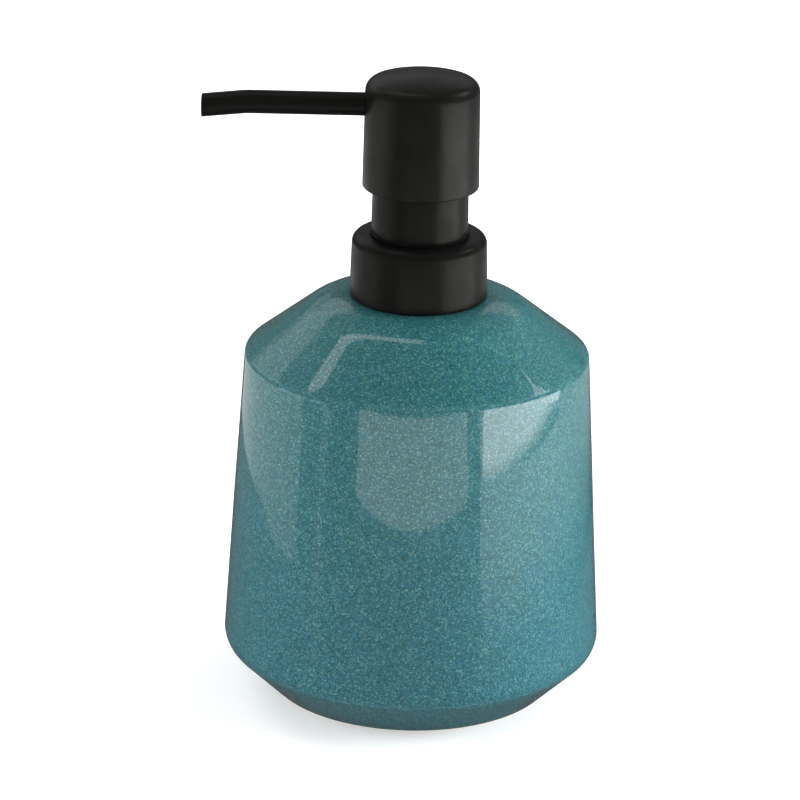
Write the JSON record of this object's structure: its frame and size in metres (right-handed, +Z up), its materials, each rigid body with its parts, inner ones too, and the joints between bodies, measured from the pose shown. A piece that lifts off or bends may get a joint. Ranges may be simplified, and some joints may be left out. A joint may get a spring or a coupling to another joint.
{
  "type": "soap pump dispenser",
  "caption": "Round glazed ceramic bottle with a sloping shoulder and a screw-on black lotion pump that dispenses liquid soap from a thin side spout when its head is pressed.",
  "frame": {"origin": "centre of the foot ring, in the plane that the bottle stands on", "axes": "+Z up along the axis of the bottle and the pump; -X is the way the spout points"},
  "size_m": [0.0948, 0.0888, 0.1488],
  "materials": {
    "teal_glaze": "glossy speckled reactive glaze",
    "black_plastic": "satin",
    "black_spout": "fine satin",
    "natural_plastic": "natural polypropylene, slightly milky",
    "white_plastic": "moulded",
    "clear_tube": "translucent extruded",
    "soft_seal": "soft matte",
    "adhesive": "cured bead",
    "spring_steel": "drawn stainless wire",
    "ball_steel": "ground and polished"
  },
  "bodies": {
    "bottle": {"bottle": "teal_glaze", "neck_insert": "natural_plastic", "neck_bond": "adhesive", "neck_seal_ring": "soft_seal"},
    "pump_unit": {"neck_gasket": "soft_seal", "pump_barrel": "natural_plastic", "cylinder_cap": "white_plastic", "dip_tube": "clear_tube", "ball_cage": "white_plastic", "return_spring": "spring_steel"},
    "collar": {"collar_shell": "black_plastic", "screw_closure": "white_plastic", "guide_sleeve": "black_plastic"},
    "inlet_ball": {"inlet_ball": "ball_steel"},
    "piston": {"piston_seal": "soft_seal"},
    "head": {"head_shell": "black_plastic", "head_core": "white_plastic", "spout_tube": "black_spout", "stem": "natural_plastic", "piston_retainer": "white_plastic"},
    "outlet_ball": {"outlet_ball": "ball_steel"}
  },
  "joints": [
    {"name": "pump_lift", "type": "slide", "parent": "bottle", "child": "pump_unit", "axis": [0, 0, 1], "range_m": [0, 0.00487]},
    {"name": "collar_turn", "type": "hinge", "parent": "pump_unit", "child": "collar", "pos_m": [0, 0, 0.1], "axis": [0, 0, 1], "range_deg": [0, 414]},
    {"name": "head_press", "type": "slide", "parent": "pump_unit", "child": "piston", "axis": [0, 0, -1], "range_m": [0, 0.011], "stiffness_N_per_m": 1000, "springref_m": -0.01, "deforming": ["return_spring"]},
    {"name": "head_swivel", "type": "hinge", "parent": "piston", "child": "head", "pos_m": [0, 0, 0.13], "axis": [0, 0, 1], "continuous": true},
    {"name": "inlet_ball_lift", "type": "slide", "parent": "pump_unit", "child": "inlet_ball", "axis": [0, 0, 1], "range_m": [0, 0.0012]},
    {"name": "outlet_ball_lift", "type": "slide", "parent": "head", "child": "outlet_ball", "axis": [0, 0, 1], "range_m": [0, 0.0012]}
  ],
  "couplings": [
    {"joint": "pump_lift", "follows": "collar_turn", "m_per_rad": 0.00067322}
  ]
}
